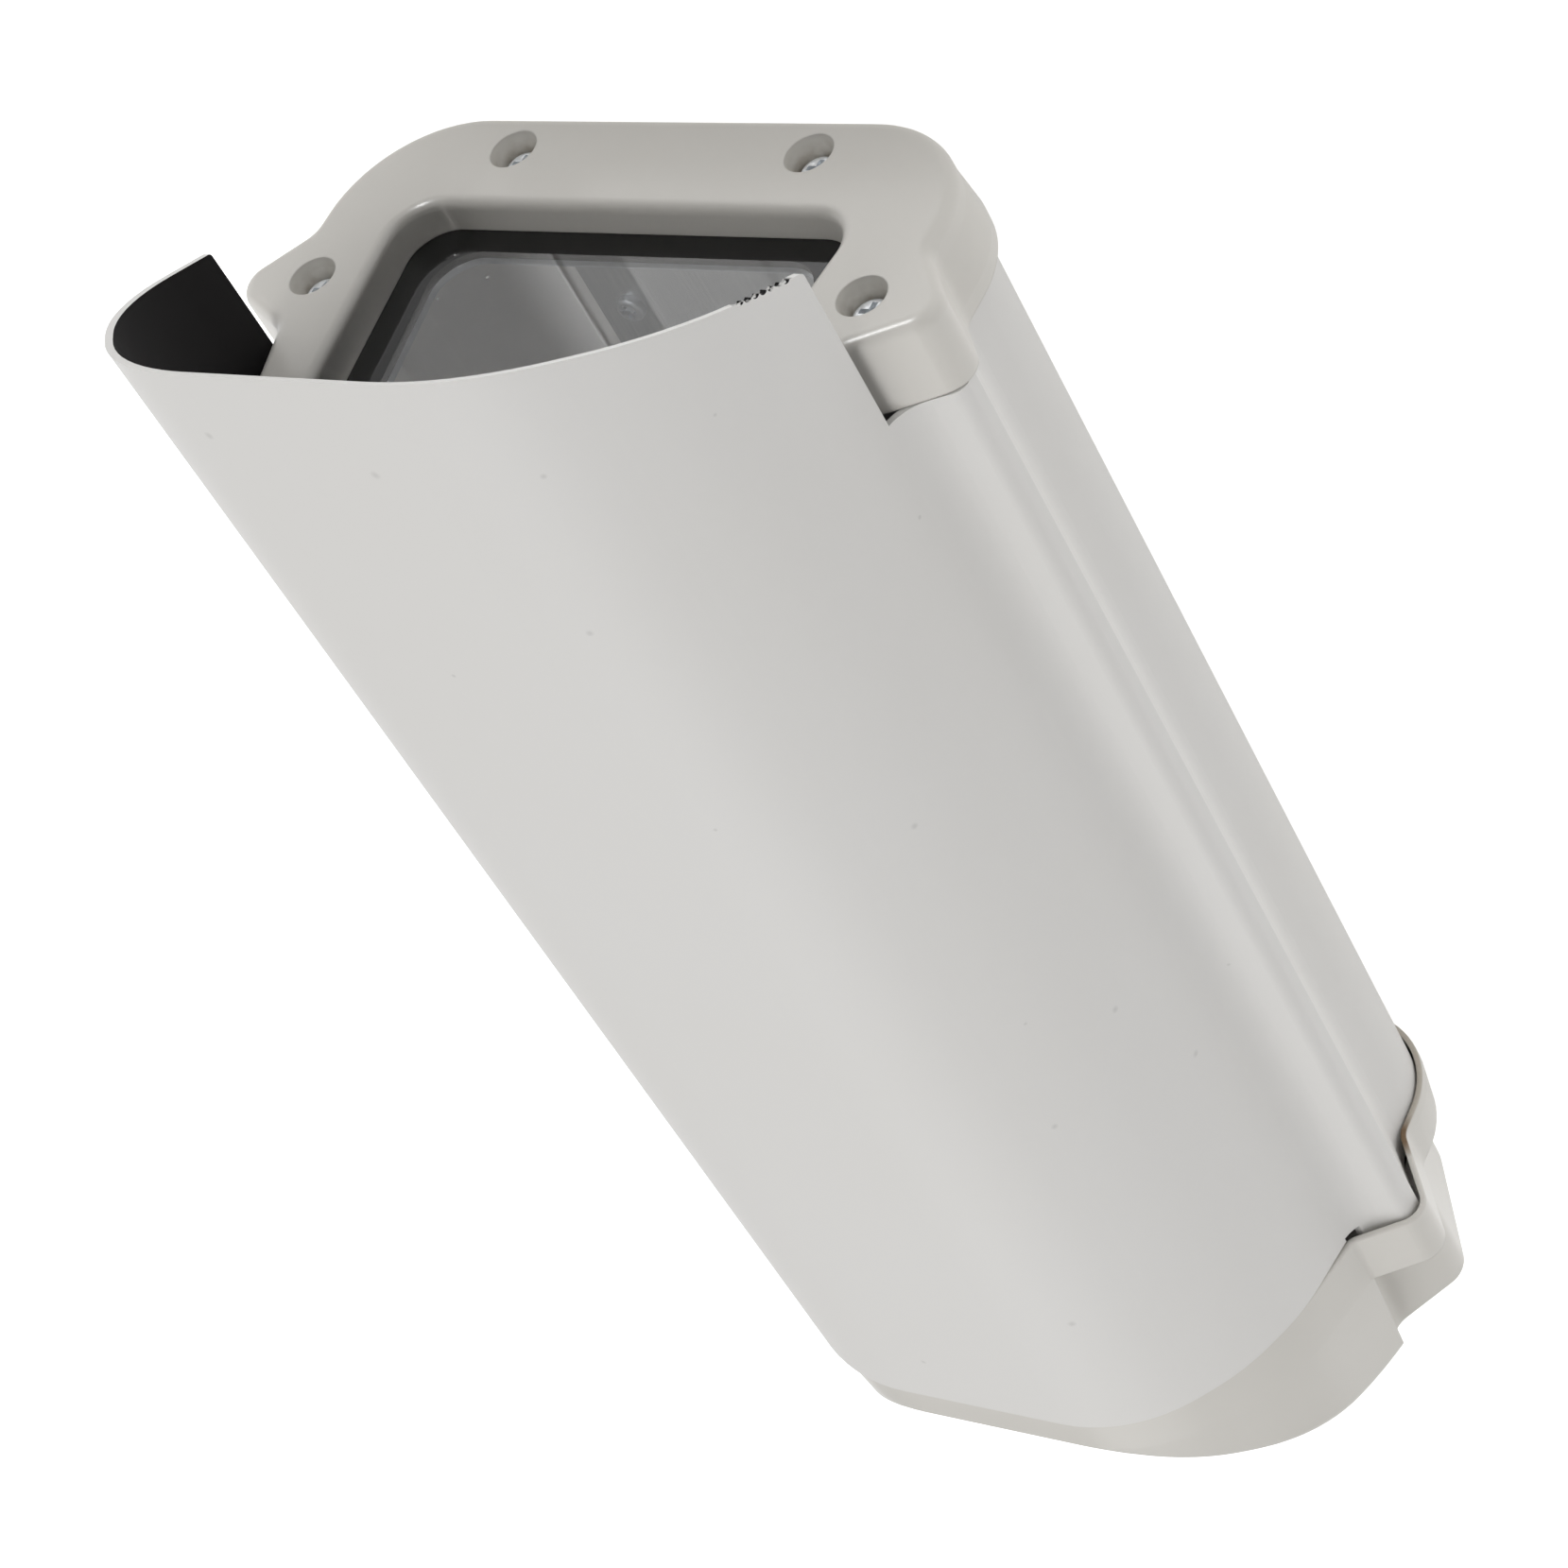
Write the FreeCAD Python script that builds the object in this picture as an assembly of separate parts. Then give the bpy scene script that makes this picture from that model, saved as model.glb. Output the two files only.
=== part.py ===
import FreeCAD
import Part
import math
import os

from FreeCAD import Vector

# An outdoor housing for a fixed security camera: an extruded tube, a moulded cap
# at each end, and a sheet sunshield that reaches over the window as a hood.
# Sizes are in millimetres. X is across, Y runs from the window to the back, Z is up.
# In the outlines below, heights are taken from the line of the side screws, and
# depths from the front cap's face. The last helper step moves both to the real frame.

# Screws that hold the caps
side_screw_x = 59.0
low_screw_x = 32.0
low_screw_z = -32.3
screw_radius = 2.0
screw_clearance = 0.2
thread_gap = 0.05
screw_head_radius = 3.6
screw_head_height = 2.5
counterbore_radius = 4.6
counterbore_depth = 6.1
screw_grip = 14.0
recess_width = 1.1
recess_depth = 1.6
recess_reach = 0.6

# Cap outline: lower body, boss round each side screw, and arch under the sunshield
body_side = 66.2
body_low = -40.8
body_round = 24.4
waist_z = -11.3
waist_round = 5.0
boss_reach = 77.3
boss_z = 2.6
boss_round = 5.5
boss_root_x = 60.4
boss_root_z = 11.6
boss_root_round = 3.5
arch_foot = 63.2
arch_lean = 0.24
arch_shoulder = 93.9
arch_top = 60.4
arch_side_round = 34.0
arch_top_round = 34.0

# Front cap
front_cap_depth = 16.0
flare_start = 5.0
flare_end = 13.0
flare_side = 1.8
flare_low = 1.0
flare_round = 1.5
face_flare = 0.1
cap_edge_round = 2.5
cap_wall = 3.0
skirt_wall = 1.7
tube_clearance = 0.2
tube_side_gap = 2.5
tube_corner_gap = 4.2
front_land = 8.0
land_width = 5.0
gasket_thick = 1.5
gasket_inset = 1.0
post_radius = 7.0

# Window
window_low = -18.9
window_low_x = 49.5
window_low_round = 8.0
window_top = 42.0
window_top_x = 42.5
window_top_round = 18.0
window_depth = 6.8
window_draft = 1.2
window_edge_round = 2.0
frame_wall = 7.0
glass_lap = 5.0
glass_thick = 3.0
glass_gap = 0.3
border_side = 6.0
border_low = 4.0
window_gasket_thick = 1.5
retainer_thick = 1.5
retainer_screws = ((45.0, -26.4), (26.0, 49.6))
retainer_boss_radius = 3.4
retainer_screw_radius = 1.5
retainer_head_radius = 2.8
retainer_head_height = 1.8
retainer_screw_length = 7.0

# Tube
tube_wall = 2.2
port_radius = 4.4
port_web = 1.5
rail_half = 12.0
rail_height = 6.0
rib_x = 19.0
rib_width = 5.0
rib_height = 12.0

# Sunshield
sheet = 1.3
hood_top = 64.2
hood_shoulder = 99.24
hood_side = 63.4
hood_side_z = 13.3
hood_lean = 0.14
hood_side_round = 46.0
hood_top_round = 39.0
skirt_root_z = 9.3
skirt_root_round = 9.0
roll_play = 0.1
roll_z = 4.9
roll_round = 3.0
roll_low = 0.6
hood_corner_depth = -19.0
hood_slant = 0.508
hood_corner_round = 1.2
nibble_radius = 0.9
nibble_pitch = 1.6
nibble_depth = 0.45
nibble_count = 7
nibble_start_z = 16.6
shield_tail = 254.3
tail_bend_z = 38.0
tail_slant = 0.1
front_notch_gap = 0.2
rear_notch_gap = 1.5
rear_tab_top = 9.8
rear_tab_reach = 4.0

# Rear cap
rear_cap_face = 295.0
rear_rim = 254.8
rear_flare_side = 0.8
rear_flare_round = 0.3
rear_skirt_wall = 1.2
rear_side_gap = 0.5
rear_round = 22.0
rear_waist_z = -14.0
rear_edge_round = 0.5
rear_boss_reach = 78.5
rear_boss_z = 3.8
rear_root_z = 13.0
rear_root_round = 2.0
rear_foot = 67.85
rear_lean = 0.26
rear_side_round = 46.0
band_depth = 13.2
band_straight = 3.0
rear_land_depth = 8.0
cowl_gap = 0.4
cowl_foot_z = 12.5
cowl_draft = 1.9
back_arc_radius = 59.0
back_arc_z = 13.0
tier_low = -38.0
tier_low_x = 50.2
tier_low_round = 12.0
tier_nose_x = 69.3
tier_nose_z = -7.3
tier_nose_round = 6.5
tier_root_x = 59.8
tier_root_z = 7.2
tier_root_round = 6.0
tier_top_x = 59.2
tier_edge_round = 1.2
tier_lap = 1.0
rear_counterbore_radius = 3.8
cowl_edge_round = 2.5
rear_wall = 2.6
rear_face_wall = 3.5

# Base
base_hole_radius = 2.55
base_hole_spacing = 60.0
base_hole_count = 3

# Camera tray
tray_half = 27.0
tray_thick = 2.0
tray_start = 24.0
tray_end = 238.0
slot_half = 3.4
slot_start = 60.0
slot_end = 200.0
tray_screw_radius = 1.5
tray_head_radius = 2.8
tray_head_height = 1.8
tray_screw_length = 8.0
tray_screw_inset = 10.0
camera_thread_radius = 3.175
camera_thread_length = 8.0
camera_neck_radius = 2.6
camera_head_radius = 9.0
camera_head_height = 4.0
camera_screw_depth = 120.0
washer_radius = 7.0
washer_thick = 1.0
knurl_count = 24
knurl_radius = 0.5

# Cable glands
gland_x = 22.0
gland_z = -12.0
gland_thread_radius = 8.0
gland_bore_radius = 4.5
gland_hex = 11.0
gland_hex_height = 5.0
gland_neck_radius = 7.0
gland_neck_height = 6.0
gland_nut_hex = 10.0
gland_nut_height = 13.0
gland_nut_dome = 2.5
locknut_hex = 11.0
locknut_height = 4.0
gland_seal_thick = 1.0
gland_play = 0.1
gland_insert_radius = 4.0
gland_insert_length = 12.0
gland_insert_wall = 1.5
gland_nut_mouth = 5.0
gland_tail = 6.0

# Place of the outlines in the real frame: it rests on the caps, midway along its length
screw_line_height = flare_low - body_low
hood_reach = hood_slant * (hood_top - hood_side_z) - hood_corner_depth
gland_reach = gland_seal_thick + gland_hex_height + gland_nut_height
face_y = (hood_reach - rear_cap_face - gland_reach) / 2

# Earth stud
earth_depth = 222.0
earth_x = 12.0
earth_length = 12.0
earth_nut_flat = 3.5
earth_nut_height = 3.2
earth_washer_radius = 5.0
earth_washer_thick = 1.0


def place(x, depth, z):
    """A point of the outlines, moved to the real frame."""
    return Vector(x, face_y + depth, screw_line_height + z)


def unit(a, b):
    """Direction from corner a to corner b."""
    dx = b[0] - a[0]
    dz = b[1] - a[1]
    size = math.hypot(dx, dz)
    return dx / size, dz / size


def mirrored(half):
    """A whole outline from its +X half, listed from the bottom up."""
    return half + [(-x, z, r) for x, z, r in reversed(half)]


def moved_in(corners, wall, closed=True):
    """The outline moved to its left by the wall, with its rounds still concentric."""
    result = []
    count = len(corners)
    for i, (x, z, r) in enumerate(corners):
        if closed or 0 < i < count - 1:
            a = unit(corners[i - 1], corners[i])
            b = unit(corners[i], corners[(i + 1) % count])
        elif i == 0:
            a = b = unit(corners[0], corners[1])
        else:
            a = b = unit(corners[-2], corners[-1])
        share = wall / (1 + a[0] * b[0] + a[1] * b[1])
        turns_left = a[0] * b[1] - a[1] * b[0] > 0
        radius = r - wall if turns_left else r + wall
        result.append((x - share * (a[1] + b[1]), z + share * (a[0] + b[0]),
                       max(radius, 0.0) if r > 0 else 0.0))
    return result


def ring(corners, depth):
    """Closed wire through the corners, each rounded by its own radius."""
    count = len(corners)
    stops = []
    for i, (x, z, r) in enumerate(corners):
        a = unit(corners[i - 1], corners[i])
        b = unit(corners[i], corners[(i + 1) % count])
        if r <= 0:
            stops.append(((x, z), None, (x, z)))
            continue
        cosine = max(-1.0, min(1.0, a[0] * b[0] + a[1] * b[1]))
        half_turn = math.acos(cosine) / 2
        back = r * math.tan(half_turn)
        bow = r * (1 / math.cos(half_turn) - 1)
        mx = b[0] - a[0]
        mz = b[1] - a[1]
        size = math.hypot(mx, mz)
        stops.append(((x - a[0] * back, z - a[1] * back),
                      (x + mx / size * bow, z + mz / size * bow),
                      (x + b[0] * back, z + b[1] * back)))
    edges = []
    for i in range(count):
        start, middle, end = stops[i]
        if middle:
            points = [place(p[0], depth, p[1]) for p in (start, middle, end)]
            edges.append(Part.Arc(*points).toShape())
        following = stops[(i + 1) % count][0]
        edges.append(Part.LineSegment(place(end[0], depth, end[1]),
                                      place(following[0], depth, following[1])).toShape())
    return Part.Wire(edges)


def slab(corners, start, end):
    """The outline's area, from one depth to another."""
    return Part.Face(ring(corners, start)).extrude(Vector(0, end - start, 0))


def taper(front, start, back, end):
    """A solid between two outlines with the same corners."""
    return Part.makeLoft([ring(front, start), ring(back, end)], True, True)


def block(x0, x1, depth0, depth1, z0, z1):
    return Part.makeBox(x1 - x0, depth1 - depth0, z1 - z0, place(x0, depth0, z0))


def rod(radius, x, z, start, end):
    """A cylinder along the depth."""
    return Part.makeCylinder(radius, end - start, place(x, start, z), Vector(0, 1, 0))


def post(radius, x, depth, low, high):
    """A cylinder that stands upright."""
    return Part.makeCylinder(radius, high - low, place(x, depth, low), Vector(0, 0, 1))


def edges_at(solid, depth, tolerance=0.01):
    """The edges that lie wholly in the plane at that depth."""
    y = face_y + depth
    return [e for e in solid.Edges
            if abs(e.BoundBox.YMin - y) < tolerance and abs(e.BoundBox.YMax - y) < tolerance]


def merged(solids):
    first, rest = solids[0], solids[1:]
    return first.fuse(rest).removeSplitter()


def save(name, shape):
    shape.exportStep("parts/" + name + ".step")
    print(name, len(shape.Solids), "solid", round(shape.Volume / 1000, 2), "cm3", shape.isValid())


# Outlines that the pieces share

def arch(foot, lean, shoulder, top, side_round, top_round):
    """Two corners of an arch: its leaning side meets a 45 degree line, and that meets the top."""
    side_z = (shoulder - foot) / (1 - lean)
    return [(shoulder - side_z, side_z, side_round), (shoulder - top, top, top_round)]


def lower_body(side, low, low_round, waist, boss):
    """Bottom corner, and where the side meets the slope that runs from the waist to the boss."""
    slope = (boss[1] - waist[1]) / (boss[0] - waist[0])
    return [(side, low, low_round), (side, waist[1] + slope * (side - waist[0]), waist_round)]


def boss_and_arch():
    half = [(boss_reach, boss_z, boss_round), (boss_root_x, boss_root_z, boss_root_round)]
    return half + arch(arch_foot, arch_lean, arch_shoulder, arch_top, arch_side_round, arch_top_round)


def front_body(side, low, low_round):
    return lower_body(side, low, low_round, (body_side, waist_z), (boss_reach, boss_z))


def cap_outline(flare):
    """The front cap's outline, from its narrow end at 0 to its rim at 1."""
    return mirrored(front_body(body_side + flare * flare_side, body_low - flare * flare_low,
                               body_round + flare * flare_round) + boss_and_arch())


# The tube's lower sides stand further in than its arch, with tighter corners
cap_rim_outline = cap_outline(1)
tube_inset = skirt_wall + tube_clearance
tube_set_back = tube_side_gap - tube_clearance
tube_body = front_body(body_side + flare_side - tube_set_back, body_low - flare_low,
                       body_round + flare_round - tube_corner_gap + tube_clearance)
tube_outline = moved_in(mirrored(tube_body + boss_and_arch()), tube_inset)
tube_side = tube_outline[0][0]

tube_start = front_land + gasket_thick
rear_land = rear_rim + rear_land_depth
tube_end = rear_land - gasket_thick

screw_points = [(side_screw_x, 0.0), (-side_screw_x, 0.0),
                (low_screw_x, low_screw_z), (-low_screw_x, low_screw_z)]


def hood_line():
    """The sunshield's outer line, from its lower edge at +X over the top to the other side."""
    foot = hood_side + hood_lean * hood_side_z
    root_x = foot - hood_lean * skirt_root_z
    half = [(roll_x, roll_low, 0.0), (roll_x, roll_z, roll_round),
            (root_x, skirt_root_z, skirt_root_round)]
    half += arch(foot, hood_lean, hood_shoulder, hood_top, hood_side_round, hood_top_round)
    return mirrored(half)


def sunshield():
    """One bent sheet: arch, notches at the caps' bosses, and rolled edges that enter the rear cap."""
    outer = hood_line()
    inner = moved_in(outer, sheet, closed=False)
    section = outer + list(reversed(inner))
    tab_end = rear_rim + rear_tab_reach
    end = max(shield_tail + tail_slant * (hood_top - tail_bend_z), tab_end)
    shape = slab(section, -hood_reach, end)
    wide = 2 * roll_x
    low = roll_low - sheet
    front_notch = block(-wide, wide, -hood_reach, front_cap_depth + front_notch_gap, low, hood_side_z)
    rear_notch = block(-wide, wide, rear_rim - rear_notch_gap, end + 1, rear_tab_top, hood_side_z)
    past_tab = block(-wide, wide, tab_end, end + 1, low, rear_tab_top)
    shape = shape.cut([front_notch, rear_notch, past_tab])
    above = 2 * hood_top
    low_z = hood_side_z - 1
    front_cut = [(-2 * hood_reach, low_z), (hood_corner_depth + hood_slant, low_z),
                 (hood_corner_depth - hood_slant * (above - hood_side_z), above),
                 (-2 * hood_reach, above)]
    tail_cut = [(rear_cap_face, low_z), (shield_tail, low_z), (shield_tail, tail_bend_z),
                (shield_tail + tail_slant * (above - tail_bend_z), above), (rear_cap_face, above)]
    shape = shape.cut([side_profile(front_cut), side_profile(tail_cut)])
    return shape.makeFillet(hood_corner_round, hood_corners(shape)).cut(nibbles())


def hood_corners(solid):
    """The two edges through the sheet where the slanted front meets the hood's lower edges."""
    y = face_y + hood_corner_depth
    z = screw_line_height + hood_side_z
    return [e for e in solid.Edges
            if abs(e.BoundBox.YMin - y) < 0.1 and abs(e.BoundBox.YMax - y) < 0.1
            and abs(e.BoundBox.ZMin - z) < 0.1 and abs(e.BoundBox.ZMax - z) < 0.1]


def nibbles():
    """Small bites that the punch left in the hood's slanted edge, near one lower corner."""
    cutters = []
    for i in range(nibble_count):
        z = nibble_start_z + nibble_pitch * i
        depth = hood_corner_depth - hood_slant * (z - hood_side_z) - nibble_radius + nibble_depth
        cutters.append(Part.makeCylinder(nibble_radius, hood_side, place(-1.5 * hood_side, depth, z),
                                         Vector(1, 0, 0)))
    return cutters


def side_profile(corners):
    """A wide solid from its corners as seen from the side."""
    wide = 2 * roll_x
    points = [place(-wide, d, z) for d, z in corners]
    return Part.Face(Part.makePolygon(points + points[:1])).extrude(Vector(2 * wide, 0, 0))


# Tube

def body_tube():
    """Extrusion with a port for each screw, ribs for the tray, and a thick rail for the base holes."""
    shell = slab(tube_outline, tube_start, tube_end)
    inner = moved_in(tube_outline, tube_wall)
    hollow = slab(inner, tube_start - 1, tube_end + 1)
    floor = tube_floor()
    ports = [rod(port_radius, x, z, tube_start, tube_end) for x, z in screw_points]
    ribs = [block(side * rib_x - rib_width / 2, side * rib_x + rib_width / 2, tube_start, tube_end,
                  floor, floor + rib_height) for side in (1, -1)]
    rail = block(-rail_half, rail_half, tube_start, tube_end, floor, floor + rail_height)
    webs = port_webs(tube_start, tube_end)
    inside = merged(ports + ribs + webs + [rail]).common(slab(tube_outline, tube_start, tube_end))
    shape = merged([shell.cut(hollow), inside])
    holes = [rod(screw_radius, x, z, tube_start - 1, tube_end + 1) for x, z in screw_points]
    holes += [post(base_hole_radius, 0, d, floor - 1, floor + rail_height + 1) for d in base_holes()]
    top = floor + rib_height
    holes += [post(tray_screw_radius, x, d, top - tray_screw_length, top + 1)
              for x, d in tray_screw_points()]
    return shape.cut(holes).removeSplitter()


def tube_floor():
    return body_low - flare_low + skirt_wall + tube_clearance


def port_webs(start, end):
    """Flat webs that tie the screw ports to the walls."""
    down = [block(x - port_web, x + port_web, start, end, 2 * body_low, z)
            for x, z in screw_points[2:]]
    aside = [block(*sorted((x, 2 * x)), start, end, -port_web, port_web)
             for x, z in screw_points[:2]]
    return down + aside


def base_holes():
    middle = -face_y
    first = middle - base_hole_spacing * (base_hole_count - 1) / 4
    step = base_hole_spacing / 2
    return [first + step * i for i in range(base_hole_count)]


def tray_screw_points():
    ends = (tray_start + tray_screw_inset, tray_end - tray_screw_inset)
    return [(side * rib_x, d) for side in (1, -1) for d in ends]


# Front cap

def window_outline(draft=0.0):
    """The recess's outline; its sides and top come in by the draft, and its bottom stays."""
    return mirrored([(window_low_x - draft, window_low, window_low_round),
                     (window_top_x - draft, window_top - draft, window_top_round)])


def front_cap():
    """Moulded frame: a face plate, a flared skirt over the tube, and a recessed window."""
    body = taper(cap_outline(0), 0, cap_outline(face_flare), flare_start)
    body = body.makeFillet(cap_edge_round, edges_at(body, 0))
    body = merged([body, taper(cap_outline(face_flare), flare_start, cap_rim_outline, flare_end),
                   slab(cap_rim_outline, flare_end, front_cap_depth)])
    pocket = slab(moved_in(tube_outline, -tube_clearance), front_land, front_cap_depth + 1)
    core = slab(moved_in(tube_outline, land_width), cap_wall, front_land + 1)
    body = body.cut([pocket, core])
    frame = slab(moved_in(window_outline(), -frame_wall), cap_wall - 1, glass_back())
    posts = [rod(post_radius, x, z, cap_wall - 1, front_land) for x, z in screw_points]
    bosses = [rod(retainer_boss_radius, x, z, cap_wall - 1, frame_back()) for x, z in retainer_points()]
    inside = merged([frame] + posts + bosses)
    inside = inside.common(merged([slab(moved_in(tube_outline, tube_wall), 0, front_land),
                                   slab(moved_in(tube_outline, land_width), cap_wall, frame_back())]))
    body = merged([body, inside])
    recess = taper(window_outline(), -1, window_outline(window_draft), window_depth + 0.01)
    body = body.cut([recess, slab(moved_in(window_outline(window_draft), -glass_lap - glass_gap),
                                  window_depth, glass_back() + 1)])
    body = body.makeFillet(window_edge_round, window_lip(body))
    cutters = []
    for x, z in screw_points:
        cutters.append(rod(counterbore_radius, x, z, -1, counterbore_depth))
        cutters.append(rod(screw_radius + screw_clearance, x, z, 0, front_land + 1))
    cutters += [rod(retainer_screw_radius, x, z, cap_wall, frame_back() + 1)
                for x, z in retainer_points()]
    return body.cut(cutters)


def glass_back():
    return window_depth + glass_thick


def window_lip(solid):
    """The edges of the recess in the cap's face."""
    reach = window_low_x + 1
    return [e for e in edges_at(solid, 0)
            if abs(e.BoundBox.XMin) < reach and abs(e.BoundBox.XMax) < reach
            and e.BoundBox.ZMax < screw_line_height + window_top + 1
            and e.BoundBox.ZMin > screw_line_height + window_low - 1]


# Window

def window_glass():
    outline = moved_in(window_outline(window_draft), -glass_lap)
    return slab(outline, window_depth, glass_back())


def window_gasket():
    """Black foam frame behind the glass, seen through it as a dark border."""
    outer = moved_in(window_outline(window_draft), -glass_lap)
    back = glass_back() + window_gasket_thick
    return slab(outer, glass_back(), back).cut(slab(border_outline(), glass_back() - 1, back + 1))


def border_outline():
    """The clear opening inside the dark border."""
    side = window_draft + border_side
    low_side = window_low_x - side
    return mirrored([(low_side, window_low + border_low, window_low_round),
                     (window_top_x - side, window_top - side, window_top_round - border_side)])


def frame_back():
    return glass_back() + window_gasket_thick


def retainer_points():
    return [(side * x, z) for side in (1, -1) for x, z in retainer_screws]


def window_retainer():
    """Flat steel frame that clamps the gasket and the glass."""
    start, end = frame_back(), frame_back() + retainer_thick
    ears = [rod(retainer_boss_radius, x, z, start, end) for x, z in retainer_points()]
    plate = merged([slab(moved_in(window_outline(), -frame_wall), start, end)] + ears)
    plate = plate.common(slab(moved_in(tube_outline, tube_wall + tube_clearance), start, end))
    opening = slab(border_outline(), start - 1, end + 1)
    holes = [rod(retainer_screw_radius + screw_clearance, x, z, start - 1, end + 1)
             for x, z in retainer_points()]
    return plate.cut([opening] + holes)


# Fasteners

def pan_head(radius, height, x, z, start, outward):
    """A domed head with a cross recess, whose flat side is at the start depth."""
    low, high = sorted((start, start + outward * height))
    head = rod(radius, x, z, low, high)
    top = high if outward > 0 else low
    head = head.makeFillet(height / 2, edges_at(head, top))
    arm = radius * recess_reach
    depth = recess_depth * height / screw_head_height
    floor = top - outward * depth
    a, b = sorted((floor, top + outward))
    half = recess_width / 2
    return head.cut([block(x - arm, x + arm, a, b, z - half, z + half),
                     block(x - half, x + half, a, b, z - arm, z + arm)])


def cap_screw(x, z, seat, outward, end):
    head = pan_head(screw_head_radius, screw_head_height, x, z, seat, outward)
    low, high = sorted((seat, end))
    return merged([head, rod(screw_radius - thread_gap, x, z, low, high)])


def front_screws():
    end = tube_start + screw_grip
    return Part.Compound([cap_screw(x, z, counterbore_depth, -1, end) for x, z in screw_points])


def rear_seat():
    return rear_cap_face - counterbore_depth


def rear_screws():
    end = tube_end - screw_grip
    return Part.Compound([cap_screw(x, z, rear_seat(), 1, end) for x, z in screw_points])


def retainer_screw_set():
    screws = []
    seat = frame_back() + retainer_thick
    for x, z in retainer_points():
        head = pan_head(retainer_head_radius, retainer_head_height, x, z, seat, 1)
        shank = rod(retainer_screw_radius - thread_gap, x, z, seat - retainer_screw_length, seat)
        screws.append(merged([head, shank]))
    return Part.Compound(screws)


# Gaskets between the caps and the tube's ends

def end_gasket(start, end):
    outer = slab(moved_in(tube_outline, tube_clearance), start, end)
    inner = slab(moved_in(tube_outline, land_width - gasket_inset), start - 1, end + 1)
    pads = [rod(port_radius, x, z, start, end) for x, z in screw_points]
    pads = merged(pads + port_webs(start, end)).common(outer)
    holes = [rod(screw_radius + screw_clearance, x, z, start - 1, end + 1) for x, z in screw_points]
    return merged([outer.cut(inner), pads]).cut(holes)


# Rear cap

def rear_arch(inward):
    """The arch that fills the sunshield's tail, drawn in by the cowl's draft."""
    below = sheet + cowl_gap + inward
    return arch(rear_foot - inward * math.hypot(1, rear_lean), rear_lean,
                hood_shoulder - below * math.sqrt(2), hood_top - below,
                rear_side_round - inward, hood_top_round - below)


def rear_outline(flare):
    """Like the front cap's, but close to the tube's sides, with a larger boss and a wider arch."""
    rim_side = tube_side + rear_side_gap + rear_skirt_wall
    drawn_in = 1 - flare
    body = lower_body(rim_side - drawn_in * rear_flare_side, body_low - flare * flare_low,
                      rear_round - drawn_in * rear_flare_round,
                      (rim_side, rear_waist_z), (rear_boss_reach, rear_boss_z))
    boss = [(rear_boss_reach, rear_boss_z, boss_round),
            (rear_foot - rear_lean * rear_root_z, rear_root_z, rear_root_round)]
    return mirrored(body + boss + rear_arch(0))


def tier_outline():
    """The deep lower part of the rear cap, narrower than its front band."""
    return mirrored([(tier_low_x, tier_low, tier_low_round),
                     (tier_nose_x, tier_nose_z, tier_nose_round),
                     (tier_root_x, tier_root_z, tier_root_round),
                     (tier_top_x, cowl_foot_z + tier_lap, 0.0)])


def cowl_outline(inward):
    foot = rear_foot - inward * math.hypot(1, rear_lean) - rear_lean * cowl_foot_z
    return mirrored([(foot, cowl_foot_z, 0.0)] + rear_arch(inward))


def back_profile(inward):
    """Everything ahead of the rounded back, seen from the side, as a wide solid."""
    wide = 2 * tube_half_width
    radius = back_arc_radius - inward
    centre = rear_cap_face - back_arc_radius
    low = -2 * screw_line_height
    start, end = rear_rim - 1, rear_cap_face - inward
    rise = math.sqrt(radius ** 2 - (start - centre) ** 2)
    middle = math.radians(45)
    arc = Part.Arc(place(-wide, end, back_arc_z),
                   place(-wide, centre + radius * math.cos(middle),
                         back_arc_z + radius * math.sin(middle)),
                   place(-wide, start, back_arc_z + rise)).toShape()
    corners = [(start, back_arc_z + rise), (start, low), (end, low), (end, back_arc_z)]
    points = [place(-wide, d, z) for d, z in corners]
    sides = [Part.LineSegment(a, b).toShape() for a, b in zip(points, points[1:])]
    return Part.Face(Part.Wire([arc] + sides)).extrude(Vector(2 * wide, 0, 0))


def back_edges(solid):
    """The curved edges where the rounded back cuts the cowl's sides and shoulders."""
    y = face_y + rear_cap_face - back_arc_radius
    z = screw_line_height + back_arc_z
    chosen = []
    for edge in solid.Edges:
        points = edge.discretize(5)
        on_back = all(abs(math.hypot(p.y - y, p.z - z) - back_arc_radius) < 0.05 for p in points)
        slants = abs(points[0].z - points[-1].z) > 0.1
        if on_back and slants:
            chosen.append(edge)
    return chosen


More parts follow.
